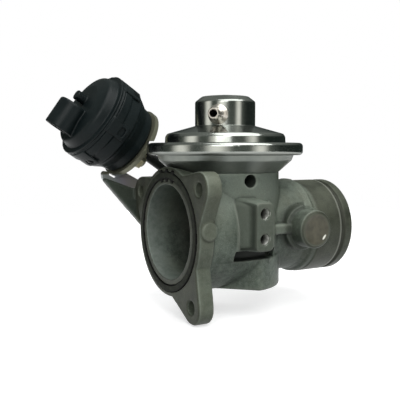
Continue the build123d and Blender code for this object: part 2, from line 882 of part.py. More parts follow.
def lower_case():
    """Plastic cup with the rod's guide neck, clip band and two foot studs' bores."""
    half = case_wall / 2
    cup = pressed(
        [
            (rod_bush_radius, case_foot + half),
            (case_foot_radius - half, case_foot + half),
            (case_waist_radius - half, case_waist),
            (case_band_radius - half - 1.0, case_rim_bottom + 0.6),
            (case_band_radius - half - 0.4, case_split - membrane - 1.0),
        ],
        case_wall,
        1.6,
    )
    band = turned(
        [
            (case_band_radius - case_wall - 0.4, case_rim_bottom + 1.2),
            (case_band_radius - 0.8, case_rim_bottom + 1.2),
            (case_band_radius, case_rim_bottom + 2.2),
            (case_band_radius, -0.2),
            (case_rim_radius, 0.2),
            (case_rim_radius, case_split),
            (rebate_radius, case_split),
            (rebate_radius, case_split - membrane),
            (case_band_radius - case_wall - 0.4, case_split - membrane),
        ]
    )
    neck = turned(
        [
            (rod_bush_radius, case_foot),
            (rod_bush_radius + guide_neck_wall, case_foot),
            (rod_bush_radius + guide_neck_wall, case_foot + guide_neck_length),
            (rod_bush_radius, case_foot + guide_neck_length),
        ]
    )
    body = cup + band + neck
    for place in stud_places:
        body += place * rod_z(stud_radius + stud_wall, case_foot, case_foot + stud_depth + 1.0)
        body -= place * rod_z(stud_radius, case_foot - 1, case_foot + stud_depth)
    return body


rod_spring_radius = cup_radius - cup_wall - rod_spring_gap - rod_spring_wire
snout_floor = snout_top - snout_end
snout_frame = Pos(0, 0, snout_height) * Rot(0, 0, -snout_lean) * Pos(0, -snout_side, 0) * Rot(0, 90, 0)


def case_clips():
    """Snap tabs of the dome, standing on the band of the lower case."""
    clips = []
    outer = case_rim_radius + clip_stand
    bottom = case_split - clip_height
    for i in range(clip_count):
        arc = rod_z(outer, bottom, case_split + 1.0) - rod_z(case_rim_radius, bottom - 1, case_split + 2)
        window = block(0, outer + 1, -clip_width / 2, clip_width / 2, bottom - 1, case_split + 2)
        eye = block(0, outer + 1, -clip_width / 4, clip_width / 4, bottom + 1.6, bottom + 4.2)
        clips.append(Rot(0, 0, 60 * i + 20) * ((arc & window) - eye))
    return clips


def dome_block(inset):
    """Outer form of the dome, filled, as far inside its skin as the inset."""
    return turned(
        [
            (0, case_split),
            (dome_base_radius - inset, case_split),
            (dome_base_radius - inset, case_rim_top - inset),
            (dome_shoulder_radius - inset, dome_shoulder + case_wall / 2 - inset),
            (dome_top_radius - inset, dome_top - inset),
            (0, dome_top - inset),
        ]
    )


def upper_case():
    half = case_wall / 2
    dome = pressed(
        [
            (0, dome_top - half),
            (dome_top_radius - half, dome_top - half),
            (dome_shoulder_radius - half, dome_shoulder),
            (dome_base_radius - half, case_rim_top - half),
            (dome_base_radius - half, case_split + half),
        ],
        case_wall,
        2.0,
    )
    rim = turned(
        [
            (case_band_radius - case_wall - 0.4, case_split),
            (case_rim_radius, case_split),
            (case_rim_radius, case_split + 0.7),
            (case_rim_radius - 0.7, case_split + 1.1),
            (case_rim_radius - 0.7, case_split + 1.5),
            (case_rim_radius, case_split + 1.9),
            (case_rim_radius - 0.2, case_rim_top),
            (dome_base_radius - half, case_rim_top),
            (dome_base_radius - half, case_split + 0.2),
        ]
    )
    body = dome + rim
    for clip in case_clips():
        body += clip

    # the port shroud lies across the dome, closed at its upper end
    shroud = rod_z(snout_radius, snout_bottom, snout_top)
    shroud = snout_frame * fillet(shroud.faces().sort_by(Axis.Z)[-1].edges(), 1.5)
    body += shroud - dome_block(case_wall / 2)
    body += rod_z(peg_radius, dome_top - 1, snout_height + 1.4, x=peg_reach)
    hollow = snout_frame * rod_z(snout_radius - snout_wall, snout_bottom - 1, snout_floor)
    body -= hollow - dome_block(0)
    body -= snout_frame * rod_z(port_pipe_radius, snout_floor, snout_floor + 1.5)
    duct_end = snout_top - 2.5
    body -= snout_frame * rod_z(port_pipe_bore_radius, snout_floor, duct_end)
    duct = rod_z(port_pipe_bore_radius, dome_top - case_wall - 1, snout_height)
    return body - Rot(0, 0, -snout_lean) * Pos(duct_end, -snout_side, 0) * duct


nodes["actuator_lower_case"] = actuator * lower_case()
nodes["actuator_upper_case"] = actuator * upper_case()

port_tip = snout_bottom + 3.0
nodes["actuator_port_nipple"] = (
    actuator
    * snout_frame
    * turned(
        [
            (port_pipe_bore_radius, port_tip),
            (port_pipe_radius - 0.7, port_tip),
            (port_pipe_radius - 0.3, port_tip + port_pipe_lead),
            (port_pipe_radius - 0.3, snout_floor),
            (port_pipe_radius, snout_floor),
            (port_pipe_radius, snout_floor + 1.5),
            (port_pipe_bore_radius, snout_floor + 1.5),
        ]
    )
)

edge_z = case_split - membrane / 2
nodes["actuator_diaphragm"] = actuator * pressed(
    [
        (rod_radius + 0.1, cup_rest),
        (cup_radius + 0.4, cup_rest),
        (case_band_radius - case_wall - 1.9, edge_z - 2.0),
        (case_band_radius - case_wall - 1.5, edge_z),
        (rebate_radius - 0.1, edge_z),
    ],
    membrane,
    0.9,
)

cup_middle = cup_rest + membrane / 2 + cup_wall / 2
plate_middle = cup_rest - membrane / 2 - cup_wall / 2
nodes["actuator_cup"] = actuator * pressed(
    [
        (rod_radius, cup_middle),
        (cup_radius - 1.6, cup_middle),
        (cup_radius - 0.6, cup_middle + 2.4),
    ],
    cup_wall,
    0.7,
)
nodes["actuator_plate"] = actuator * turned(
    [
        (rod_radius, plate_middle - cup_wall / 2),
        (cup_radius - 2.0, plate_middle - cup_wall / 2),
        (cup_radius - 2.0, plate_middle + cup_wall / 2),
        (rod_radius, plate_middle + cup_wall / 2),
    ]
)
nodes["actuator_spring"] = actuator * coil(
    rod_spring_radius, rod_spring_wire, cup_middle + cup_wall / 2, dome_top - case_wall, rod_spring_turns
)

bush_top = case_foot + guide_neck_length
nodes["rod_bush"] = actuator * turned(
    [
        (rod_radius + stem_clearance, case_foot),
        (rod_bush_radius, case_foot),
        (rod_bush_radius, bush_top),
        (rod_radius + stem_clearance, bush_top),
    ]
)


def actuator_rod():
    """Round rod with a joggle, riveted through the cup and the plate."""
    rod_end = pin_along + eye_radius - 2.5
    collar_top = plate_middle - cup_wall / 2
    rivet_bottom = cup_middle + cup_wall / 2
    path = FilletPolyline(
        (0, 0, rivet_bottom),
        (0, 0, -rod_joggle_start),
        (rod_joggle, 0, -rod_joggle_start - rod_joggle_length),
        (rod_joggle, 0, rod_end),
        radius=rod_bend,
    )
    rod = sweep(Plane(path @ 0, z_dir=path % 0) * Circle(rod_radius), path=path)
    rod += rod_z(rod_radius + 1.5, collar_top - 1.2, collar_top)
    rivet = rod_z(rod_radius + 1.4, rivet_bottom, rivet_bottom + 1.3)
    rod += chamfer(rivet.faces().sort_by(Axis.Z)[-1].edges(), 0.6)
    return actuator * rod


nodes["actuator_rod"] = actuator_rod()


def rod_eye():
    """Flat eye with an oblong hole, its sleeve crimped on the end of the rod."""
    sleeve_bottom = pin_along + eye_radius - 2.5
    sleeve = rod_z(eye_sleeve_radius, sleeve_bottom, sleeve_bottom + eye_sleeve_length, x=rod_joggle)
    sleeve = chamfer(sleeve.faces().sort_by(Axis.Z)[-1].edges(), 1.0)
    bore = rod_z(rod_radius, sleeve_bottom, sleeve_bottom + eye_sleeve_length + 1, x=rod_joggle)

    # the eye is drawn in the lever's plane, its slot square to the rod
    turn = math.degrees(math.atan2(actuator_up.Z, actuator_up.X))
    neck_length = eye_radius + 2.0
    neck = Pos(0, neck_length / 2) * Rectangle(2 * eye_sleeve_radius - 1, neck_length)
    outline = Circle(eye_radius) + neck
    outline -= SlotOverall(eye_slot_length, eye_slot_width)
    plate = Rot(0, 0, turn) * extrude(outline, eye_thickness)
    plate = Pos(eye_x, eye_y + eye_thickness / 2, eye_z) * Rot(90, 0, 0) * plate
    return (actuator * sleeve + plate) - actuator * bore


nodes["rod_eye"] = rod_eye()

pin_end_y = eye_y + eye_thickness / 2 + 0.6
pin = rod_y(pin_radius, lever_seat_y, pin_end_y, pin_x, pin_z)
pin_head = rod_y(pin_head_radius, pin_end_y, pin_end_y + pin_head_height, pin_x, pin_z)
nodes["lever_pin"] = pin + chamfer(pin_head.faces().sort_by(Axis.Y)[-1].edges(), 0.8)

# ---------------------------------------------------------------- bracket


def bracket():
    """Seat plate square to the actuator, welded across a flat leg."""
    seat = rod_z(seat_radius, case_foot - bracket_wall, case_foot)
    seat -= rod_z(rod_bush_radius + 1.0, case_foot - 5, case_foot + 1)
    for place in stud_places:
        seat -= place * rod_z(stud_radius + bolt_clearance, case_foot - 5, case_foot + 1)
    outline = make_face(Polyline(*bracket_outline, close=True))
    leg = extrude(fillet(outline.vertices(), 1.5), bracket_wall)
    leg = Pos(0, arm_back_y + bracket_wall, 0) * Rot(90, 0, 0) * leg
    for x, z in arm_screws:
        leg -= rod_y(arm_screw_radius + bolt_clearance, arm_back_y - 1, arm_back_y + 5, x, z)
    slot_x, slot_z = bracket_slot
    slot_place = Pos(slot_x, arm_back_y - 1, slot_z) * Rot(-90, 0, 0) * Rot(0, 0, bracket_slot_turn)
    leg -= extrude(slot_place * SlotOverall(bracket_slot_length, bracket_slot_width), bracket_wall + 2)
    leg -= rod_y(bracket_hole_radius, arm_back_y - 1, arm_back_y + 5, *bracket_hole)
    can_room = tower * rod_z(can_rim_radius + 1.0, can_rim_bottom - 1.0, can_rim_top + 1.0)
    return actuator * seat + leg - can_room


nodes["bracket"] = bracket()

arm_screw_place = arm_back_y + bracket_wall
bracket_screws = [
    Pos(x, arm_screw_place, z)
    * Rot(-90, 0, 0)
    * screw(arm_screw_radius, arm_screw_depth, arm_screw_head, arm_screw_head_height)
    for x, z in arm_screws
]
nodes["bracket_screws"] = Compound(children=bracket_screws)

stud_bottom = case_foot - bracket_wall - stud_nut_height - stud_end
stud = rod_z(stud_radius, stud_bottom, case_foot + stud_depth)
studs = [actuator * place * stud for place in stud_places]
nodes["actuator_studs"] = Compound(children=studs)
nut_bottom = case_foot - bracket_wall - stud_nut_height
stud_nuts = [
    actuator * place * Pos(0, 0, nut_bottom) * hex_nut(stud_nut_width, stud_nut_height, stud_radius)
    for place in stud_places
]
nodes["actuator_nuts"] = Compound(children=stud_nuts)

# ---------------------------------------------------------------- can screws

can_floor = tower_top + can_wall
can_screws = []
for i in range(can_screw_count):
    place = tower * Rot(0, 0, 360 / can_screw_count * i) * Pos(can_screw_reach, 0, can_floor)
    head = rod_z(can_screw_radius + can_screw_head, 0, can_screw_head)
    head = chamfer(head.faces().sort_by(Axis.Z)[-1].edges(), 0.5)
    can_screws.append(place * (head + rod_z(can_screw_radius, -can_screw_depth, 0)))
for screw_solid in can_screws:
    nodes["housing"] -= screw_solid
    nodes["can_lower_shell"] -= screw_solid
nodes["can_screws"] = Compound(children=can_screws)

# ---------------------------------------------------------------- write

os.makedirs("parts", exist_ok=True)
for name, shape in nodes.items():
    export_step(shape, f"parts/{name}.step")
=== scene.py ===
import json
import math

import bmesh
import bpy
import numpy as np
from mathutils import Matrix, Vector
from mathutils.bvhtree import BVHTree

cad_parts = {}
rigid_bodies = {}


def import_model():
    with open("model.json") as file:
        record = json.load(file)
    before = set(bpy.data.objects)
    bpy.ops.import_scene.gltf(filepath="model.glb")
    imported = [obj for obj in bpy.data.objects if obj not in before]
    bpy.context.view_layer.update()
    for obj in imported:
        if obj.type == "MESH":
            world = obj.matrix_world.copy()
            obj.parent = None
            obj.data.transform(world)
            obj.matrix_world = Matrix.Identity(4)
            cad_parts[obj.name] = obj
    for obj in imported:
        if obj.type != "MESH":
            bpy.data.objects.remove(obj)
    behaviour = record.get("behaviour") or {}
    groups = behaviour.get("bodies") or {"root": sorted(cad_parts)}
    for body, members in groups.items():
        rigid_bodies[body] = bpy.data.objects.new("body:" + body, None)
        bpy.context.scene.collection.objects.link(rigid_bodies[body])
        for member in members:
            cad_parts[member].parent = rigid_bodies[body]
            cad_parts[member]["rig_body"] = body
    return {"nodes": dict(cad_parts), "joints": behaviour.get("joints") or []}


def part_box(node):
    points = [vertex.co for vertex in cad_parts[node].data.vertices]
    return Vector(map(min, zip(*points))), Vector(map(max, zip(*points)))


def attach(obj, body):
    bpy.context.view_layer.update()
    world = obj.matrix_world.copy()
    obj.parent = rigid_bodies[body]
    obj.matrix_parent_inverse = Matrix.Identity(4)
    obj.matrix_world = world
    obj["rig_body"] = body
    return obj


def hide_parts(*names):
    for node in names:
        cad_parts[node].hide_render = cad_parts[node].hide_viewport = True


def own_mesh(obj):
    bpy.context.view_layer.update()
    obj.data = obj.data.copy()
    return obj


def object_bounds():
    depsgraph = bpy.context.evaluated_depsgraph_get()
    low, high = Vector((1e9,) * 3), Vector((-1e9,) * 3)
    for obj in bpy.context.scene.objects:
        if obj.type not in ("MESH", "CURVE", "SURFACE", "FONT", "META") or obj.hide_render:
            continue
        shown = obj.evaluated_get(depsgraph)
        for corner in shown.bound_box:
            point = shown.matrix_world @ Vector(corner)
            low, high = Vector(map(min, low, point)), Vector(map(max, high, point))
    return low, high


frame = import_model()
cad_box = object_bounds()
MM = 0.001

# ---------------------------------------------------------------- cast housing
# One aluminium die casting: flange, air passage, valve tower, shaft bosses and hose spigot.
# It is shot-blasted to a fine grey satin. Then its faces, bores and seats are machined.


class Wire:
    """A socket of a shader. Sums and products of wires become Math nodes."""

    def __init__(self, shader, socket):
        self.shader = shader
        self.socket = socket

    def math(self, operation, *values):
        return self.shader.add("Math", {"operation": operation}, dict(enumerate(values)))

    def __add__(self, other):
        return self.math("ADD", self, other)

    __radd__ = __add__

    def __mul__(self, other):
        return self.math("MULTIPLY", self, other)

    __rmul__ = __mul__

    def __sub__(self, other):
        return self.math("SUBTRACT", self, other)

    def __rsub__(self, other):
        return self.math("SUBTRACT", other, self)

    def __truediv__(self, other):
        return self.math("DIVIDE", self, other)

    def __rtruediv__(self, other):
        return self.math("DIVIDE", other, self)

    def clamped(self):
        return self.shader.add("Clamp", {}, {"Value": self})

    def above(self, limit, blur):
        """0 below the limit and 1 above it, with a ramp as wide as the blur."""
        return ((self - limit) / blur + 0.5).clamped()

    def below(self, limit, blur):
        return 1 - self.above(limit, blur)

    def within(self, span, blur, far_blur=None):
        """1 between the two ends of a span, each with its own blur."""
        low, high = span
        return self.above(low, blur) * self.below(high, far_blur or blur)

    def hypot(self, other):
        """Distance from a point or an axis, out of two offsets from it."""
        return self.math("SQRT", self * self + other * other)

    def beside(self, output):
        """Another output of the same node."""
        return Wire(self.shader, self.socket.node.outputs[output])


class Shader:
    """The nodes of a material or of the studio round the part."""

    def __init__(self, tree):
        self.tree = tree

    def add(self, kind, settings, sockets, output=0):
        """Adds a node: its settings first, then the values or wires of its sockets."""
        node = self.tree.nodes.new("ShaderNode" + kind)
        for name, value in settings.items():
            if name == "stops":
                self.place_stops(node.color_ramp.elements, value)
            else:
                setattr(node, name, value)
        for name, value in sockets.items():
            self.feed(node.inputs[name], value)
        return Wire(self, node.outputs[output])

    def place_stops(self, elements, stops):
        while len(elements) < len(stops):
            elements.new(1)
        for element, (position, colour) in zip(elements, stops):
            element.position = position
            element.color = (*colour, 1)

    def feed(self, socket, value):
        if isinstance(value, Wire):
            self.tree.links.new(value.socket, socket)
        elif socket.type == "RGBA":
            socket.default_value = (*value, 1)
        else:
            socket.default_value = value

    def blend(self, amount, low, high):
        """Colour between two colours or colour wires."""
        return self.add("Mix", {"data_type": "RGBA"}, {"Factor": amount, 6: low, 7: high}, 2)

    def ramp(self, value, *stops):
        return self.add("ValToRGB", {"stops": stops}, {"Fac": value})


class Finish(Shader):
    """One material with a Principled surface. Its sizes and places are in mm."""

    def __init__(self, name, **values):
        self.material = bpy.data.materials.new(name)
        self.material.use_nodes = True
        super().__init__(self.material.node_tree)
        self.surface = self.tree.nodes["Principled BSDF"]
        self.place = self.add("TexCoord", {}, {}, "Object")
        self.set(**values)

    def set(self, **sockets):
        """Feeds sockets of the surface, such as base_color or roughness."""
        for name, value in sockets.items():
            title = name.replace("_", " ").title().replace("Ior", "IOR")
            self.feed(self.surface.inputs[title], value)

    def axis(self, letter):
        return self.add("SeparateXYZ", {}, {"Vector": self.place}, letter) / MM

    def noise(self, size, detail=3.0, roughness=0.5):
        """Noise from 0 to 1 whose features are about as large as the given size."""
        values = {"Vector": self.place, "Scale": 1 / (size * MM), "Detail": detail, "Roughness": roughness}
        return self.add("TexNoise", {}, values)

    def cells(self, size):
        return self.add("TexVoronoi", {"feature": "F1"}, {"Vector": self.place, "Scale": 1 / (size * MM)})

    def mark(self, name):
        """Value stored on the mesh under a name."""
        return self.add("Attribute", {"attribute_name": name}, {}, "Fac")

    def bump(self, height, depth):
        """Relief of the given depth where the height runs from 0 to 1."""
        values = {"Height": height, "Distance": depth * MM, "Strength": 1.0}
        self.set(normal=self.add("Bump", {}, values))


def corners(node):
    """Lowest and highest corner of a CAD node, in mm."""
    return [tuple(round(value / MM, 3) for value in corner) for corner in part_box(node)]


def middle(node):
    low, high = corners(node)
    return tuple((start + end) / 2 for start, end in zip(low, high))


shaft_x, _, shaft_z = middle("boss_plug")
tower_top = corners("can_lower_shell")[0][2]
pad_face = corners("housing")[0][1]
pad_x, pad_z, pad_hole_rise = 28.2, 5.05, 5.75
side_hole_x, side_hole_z = 30.5, 24.8
mouth_radius, bore_radius, mouth_end = 23.0, 23.4, 14.0

cast_grey = Finish("shot_blasted_casting", specular_ior_level=0.2)
along, front, level = [cast_grey.axis(letter) for letter in "XYZ"]
from_bore = front.hypot(level)
from_shaft = (along - shaft_x).hypot(level - shaft_z)
from_side_hole = (along - side_hole_x).hypot(level - side_hole_z)

# machined: the flange's face, the spigot and the end of the front boss
arm_front = 36.5
face = along.below(0.5, 0.4) * front.below(arm_front, 0.4)
spigot = along.above(74.8, 0.6)
boss = from_shaft.below(9.6, 0.3) * front.below(-35.5, 0.4)
cut = (face * from_bore.above(23.1, 0.2) + spigot + boss).clamped()

# places with a tone of their own, and places where light and shade are painted
# painted light: the bore's wall is made lighter near its mouth, where light falls in
bore = from_bore.below(24.2, 0.6) * along.below(8.0, 12.0)
# darker deeper inside the bore, beyond the mouth
deep_bore = from_bore.below(24.5, 1.0) * along.within((19.0, 40.0), 20.0, 10.0)
# painted shade: the cast arm, set back behind the lug, is made dark
arm = front.above(37.0, 1.0) * along.below(25.0, 4.0)
flange_side = along.within((0.8, 8.2), 0.6, 1.0) * from_bore.above(30.0, 1.0)
# painted shade: dark crescents round the root of the front boss
painted_boss_shade = from_shaft.within((9.6, 13.2), 0.6, 3.0) * front.below(-21.5, 3.0) * along.below(64.0, 6.0)
# painted shade: the inside of the side hole is made near black
side_hole = from_side_hole.below(3.1, 0.4) * front.within((-26.6, -15.0), 0.8, 1.0)
pad_front = front.below(-41.2, 0.6)
# painted shade: the pad's flank that faces the flange is made darker
painted_pad_flank_shade = along.within((22.9, 23.8), 0.3) * front.below(-25.0, 1.0) * level.within((-7.2, 15.8), 1.0)
# painted highlight: a light line on the pipe beside the pad's flank
painted_pad_glint = along.within((21.0, 22.9), 0.8, 0.4) * front.below(-22.0, 1.0) * level.within((-7.0, 15.0), 2.0)
spigot_groove = along.within((89.7, 92.1), 0.4)
# painted highlight: a light line along the lip of the spigot's groove
painted_lip_highlight = along.within((88.5, 89.6), 0.5, 0.4)
# painted shade: the slot under the pad is made near black
painted_slot_shade = level.within((-12.8, -7.4), 0.8) * front.within((-27.2, -10.0), 1.0, 4.0)
painted_slot_shade = painted_slot_shade * along.within((12.0, 44.0), 10.0, 6.0)
# painted light: the tower is made lighter towards its top
tower = level.above(4.0, 30.0) * along.within((11.0, 51.0), 6.0, 8.0)
# painted shade: the casting beyond the tower is darker towards the bottom
underside = along.above(52.0, 4.0) * level.below(6.0, 20.0)

grain = cast_grey.noise(0.45, 2.0)
pits = cast_grey.cells(0.9)
mottle = cast_grey.noise(7.0, 5.0, 0.6)
stain = cast_grey.noise(30.0)
patch = cast_grey.noise(2.2, 4.0, 0.6)
edge = cast_grey.mark("edge")
# the pale colour serves the grain, worn edges and a painted highlight beside the pad
dark, mid, light = (0.068, 0.086, 0.068), (0.140, 0.172, 0.141), (0.30, 0.33, 0.275)
# the darkest colour serves the grain's pits, and painted shade in corners, round the boss and underneath
olive, soot_and_painted_shade, painted_tower_light = (0.105, 0.112, 0.078), (0.024, 0.028, 0.021), (0.215, 0.255, 0.215)
painted_bore_light = cast_grey.ramp(
    mottle * 0.5 + patch * 0.5,
    (0.35, (0.170, 0.205, 0.178)),
    (0.65, (0.270, 0.305, 0.270)),
)
deep_bore_tone = cast_grey.ramp(mottle, (0.4, (0.016, 0.013, 0.011)), (0.6, (0.036, 0.030, 0.026)))
turned_tone = cast_grey.ramp(
    cast_grey.noise(7.0, 5.0) * 0.6 + grain * 0.4,
    (0.38, (0.034, 0.037, 0.026)),
    (0.62, (0.072, 0.078, 0.056)),
)
tone = cast_grey.ramp(mottle * 0.35 + patch * 0.4 + stain * 0.25, (0.41, dark), (0.59, mid))
layers = (
    (stain.above(0.55, 0.2) * 0.6, olive),
    # painted light over the tower
    (tower * (0.25 + stain * 0.35), painted_tower_light),
    (((grain - 0.55) * 1.8).clamped(), light),
    (((0.40 - grain) * 2.0).clamped(), soot_and_painted_shade),
    # rounded edges are lighter with wear; corners are made darker as painted shade
    ((edge * (0.3 + patch * 0.6)).clamped(), light),
    ((edge * -0.9).clamped(), soot_and_painted_shade),
    (bore, painted_bore_light),
    (deep_bore * 0.85, deep_bore_tone),
    (arm * 0.7, (0.030, 0.040, 0.032)),
    (flange_side * (0.25 + patch * 0.4), olive),
    (painted_boss_shade * 0.6, soot_and_painted_shade),
    (side_hole * 0.9, (0.010, 0.011, 0.009)),
    (painted_pad_glint * 0.4, light),
    (cut * 0.9, turned_tone),
    (pad_front * 0.6, (0.060, 0.068, 0.050)),
    (painted_pad_flank_shade * 0.75, (0.040, 0.047, 0.036)),
    (underside * 0.24, soot_and_painted_shade),
    (spigot_groove * 0.75, (0.030, 0.032, 0.024)),
    (painted_lip_highlight * 0.5, (0.34, 0.35, 0.30)),
    (painted_slot_shade * 0.95, (0.012, 0.014, 0.012)),
)
for amount, colour in layers:
    tone = cast_grey.blend(amount, tone, colour)
cast_grey.set(base_color=tone, metallic=0.15 + cut * 0.15, roughness=0.36 + mottle * 0.2)
cast_grey.bump(grain * 0.6 + pits * 0.4, 0.09)


def coordinates(mesh):
    points = np.empty(len(mesh.vertices) * 3)
    mesh.vertices.foreach_get("co", points)
    return points.reshape(-1, 3)


def smoothed(points, edges, rounds):
    """Points after rounds of moving each one halfway to the middle of its neighbours."""
    count = len(points)
    start, end = edges[:, 0], edges[:, 1]
    degree = np.bincount(start, minlength=count) + np.bincount(end, minlength=count)
    points = points.copy()
    for _ in range(rounds):
        total = np.empty_like(points)
        for axis in range(3):
            values = points[:, axis]
            total[:, axis] = np.bincount(start, values[end], count) + np.bincount(end, values[start], count)
        points += 0.5 * (total / degree[:, None] - points)
    return points


def nearest(tree, points):
    """Closest places on a surface, and which way the surface faces there."""
    found = np.empty_like(points)
    facing = np.empty_like(points)
    for i, point in enumerate(points):
        found[i], facing[i], _, _ = tree.find_nearest(point)
    return found, facing


def ease(low, high, values):
    """Smooth step from 0 at low to 1 at high."""
    share = np.clip((values - low) / (high - low), 0, 1)
    return share * share * (3 - 2 * share)


def cast_skin(node, name, finish, grid, rounds, cut=None):
    """Takes the place of a CAD node, with the rounded edges of a casting or a moulding. The
    grid, in mm, and the rounds set how round. cut(points) is 1 where a tool left a crisp
    surface. The mark named edge is above 0 on rounded edges and below 0 in corners."""
    form = bmesh.new()
    form.from_mesh(frame["nodes"][node].data)
    bmesh.ops.remove_doubles(form, verts=form.verts, dist=1e-6)
    bmesh.ops.recalc_face_normals(form, faces=form.faces)
    tree = BVHTree.FromBMesh(form)
    mesh = bpy.data.meshes.new(name)
    form.to_mesh(mesh)
    form.free()
    piece = bpy.data.objects.new(name, mesh)
    bpy.context.collection.objects.link(piece)
    remesh = piece.modifiers.new("skin", "REMESH")
    remesh.mode = "VOXEL"
    remesh.voxel_size = grid * MM
    mesh = bpy.data.meshes.new_from_object(piece.evaluated_get(bpy.context.evaluated_depsgraph_get()))
    piece.data = mesh
    piece.modifiers.clear()

    points = coordinates(mesh)
    edges = np.empty(len(mesh.edges) * 2, np.int32)
    mesh.edges.foreach_get("vertices", edges)
    edges = edges.reshape(-1, 2)
    soft = smoothed(points, edges, rounds)
    surface, facing = nearest(tree, soft)
    gap = np.linalg.norm(surface - soft, axis=1) / (grid * MM)
    side = np.sign(np.einsum("ij,ij->i", surface - soft, facing))
    held_to, free_from = 0.15, 0.9
    soft += (surface - soft) * (1 - ease(held_to, free_from, gap))[:, None]
    if cut:
        crisp = smoothed(points, edges, 2)
        surface, _ = nearest(tree, crisp)
        crisp += (surface - crisp) * 0.9
        soft += (crisp - soft) * np.clip(cut(points / MM), 0, 1)[:, None]
    mesh.vertices.foreach_set("co", soft.ravel())
    mark = mesh.attributes.new("edge", "FLOAT", "POINT")
    mark.data.foreach_set("value", side * np.clip(gap, 0, 2))
    mesh.shade_smooth()
    mesh.materials.clear()
    mesh.materials.append(finish.material)
    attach(piece, frame["nodes"][node]["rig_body"])
    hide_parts(node)
    return piece


def machined(points):
    """1 on the faces and bores that are cut after casting."""
    flange_reach, boss_front, tower_front = 34.0, -34.0, -20.0
    pad_half_height, pad_skin, pad_hole_edge = 13.5, 0.6, 4.0
    x, y, z = points.T
    from_bore = np.hypot(y, z)
    from_pad_hole = np.hypot(x - pad_x, np.abs(z - pad_z) - pad_hole_rise)
    face = (1 - ease(0.6, 1.4, x)) * (from_bore < flange_reach)
    mouth = (1 - ease(23.6, 24.2, from_bore)) * (1 - ease(9.0, 12.0, x))
    boss = (1 - ease(9.8, 10.4, np.hypot(x - shaft_x, z - shaft_z))) * (y < boss_front)
    spigot = ease(74.0, 75.0, x)
    pad = ease(13.0, 15.0, x) * (1 - ease(33.6, 35.0, x)) * (np.abs(z - pad_z) < pad_half_height)
    pad = pad * (1 - ease(16.0, 19.0, y - pad_face)) * 0.75
    pad_holes = (y < pad_face + pad_skin) * (from_pad_hole < pad_hole_edge)
    side_hole = (1 - ease(3.4, 4.2, np.hypot(x - side_hole_x, z - side_hole_z))) * (y < tower_front)
    tower_face = 1 - ease(0.2, 0.6, tower_top - z)
    return np.max([face, mouth, boss, spigot, pad, pad_holes, side_hole, tower_face], axis=0)


housing = cast_skin("housing", "cast_housing", cast_grey, grid=0.5, rounds=14, cut=machined)

# the step behind the machined mouth runs out as a casting's draft
draft_start, draft_end, spare = 6.0, mouth_end + 12.0, 0.4
skin = coordinates(housing.data)
x, y, z = skin.T / MM
radius = np.hypot(y, z)
step = (radius > mouth_radius - spare) & (radius < bore_radius + spare) & (x > draft_start) & (x < draft_end)
drafted = mouth_radius + (bore_radius - mouth_radius) * ease(draft_start, draft_end, x)
for axis in (1, 2):
    skin[step, axis] *= (drafted / radius)[step]
housing.data.vertices.foreach_set("co", skin.ravel())
edge_mark = housing.data.attributes["edge"].data
edge_values = np.empty(len(skin))
edge_mark.foreach_get("value", edge_values)
edge_values[step] = 0
edge_mark.foreach_set("value", edge_values)

# ---------------------------------------------------------------- tapped threads
# M6 threads, one millimetre pitch, tapped into the two blind holes of the mounting pad.
# The cut metal is bright at the mouth, and the hole is painted darker with its depth, as shade.

bright_cut = Finish("tapped_thread", metallic=0.9)
# painted shade: the thread's colour darkens with depth into the hole
painted_depth_shade = (bright_cut.axis("Y") - pad_face) / 7.0
bright_cut.set(base_color=bright_cut.blend(painted_depth_shade.clamped(), (0.60, 0.61, 0.57), (0.012, 0.012, 0.010)))
bright_cut.set(roughness=0.22 + bright_cut.noise(1.5) * 0.2)


def square_to(direction):
    """Unit vectors along a direction and twice across it."""
    axis = Vector(direction).normalized()
    across = axis.orthogonal().normalized()
    return axis, across, axis.cross(across)


def ring(form, centre, across, upward, radii):
    """Closed row of points about a centre, one for each radius, in mm."""
    row = []
    for i, radius in enumerate(radii):
        angle = 2 * math.pi * i / len(radii)
        place = centre + (across * math.cos(angle) + upward * math.sin(angle)) * radius
        row.append(form.verts.new(place * MM))
    return row


def bridge(form, rows):
    """Faces between each row of points and the next. A row of one point closes the end."""
    for one, two in zip(rows, rows[1:]):
        for i in range(max(len(one), len(two))):
            j = i + 1
            loop = (one[i % len(one)], two[i % len(two)], two[j % len(two)], one[j % len(one)])
            form.faces.new(list(dict.fromkeys(loop)))


def fitted(form, name, finish):
    """Smooth piece made of a form and fixed to the housing."""
    mesh = bpy.data.meshes.new(name)
    form.to_mesh(mesh)
    form.free()
    mesh.shade_smooth()
    mesh.materials.append(finish.material)
    piece = bpy.data.objects.new(name, mesh)
    bpy.context.collection.objects.link(piece)
    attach(piece, "housing_group")
    return piece


def thread(name, mouth, inward):
    """Tapped wall of a blind hole, from its mouth inwards."""
    pitch, crest, root, depth, lead, wall = 1.0, 2.5, 2.95, 13.5, 1.2, 0.3
    around, rows_per_mm = 40, 10
    axis, across, upward = square_to(inward)
    form = bmesh.new()
    rows = []
    for i in range(int(depth * rows_per_mm) + 1):
        deep = i / rows_per_mm
        waves = [abs((deep / pitch - turn / around) % 1 * 2 - 1) for turn in range(around)]
        radii = [root - (root - crest) * wave * min(1, deep / lead) for wave in waves]
        rows.append(ring(form, Vector(mouth) + axis * deep, across, upward, radii))
    bridge(form, rows)
    form.faces.new(rows[-1])
    piece = fitted(form, name, bright_cut)
    solid = piece.modifiers.new("wall", "SOLIDIFY")
    solid.thickness = wall * MM
    solid.offset = 1


thread_start = pad_face + 0.2
thread("pad_thread_1", (pad_x, thread_start, pad_z - pad_hole_rise), (0, 1, 0))
thread("pad_thread_2", (pad_x, thread_start, pad_z + pad_hole_rise), (0, 1, 0))

# ---------------------------------------------------------------- seal in the flange groove
# Moulded black rubber ring with three small tabs that locate it, pushed into the groove.
# Dust greys its top; its edges, down in the groove, are painted black as shade.

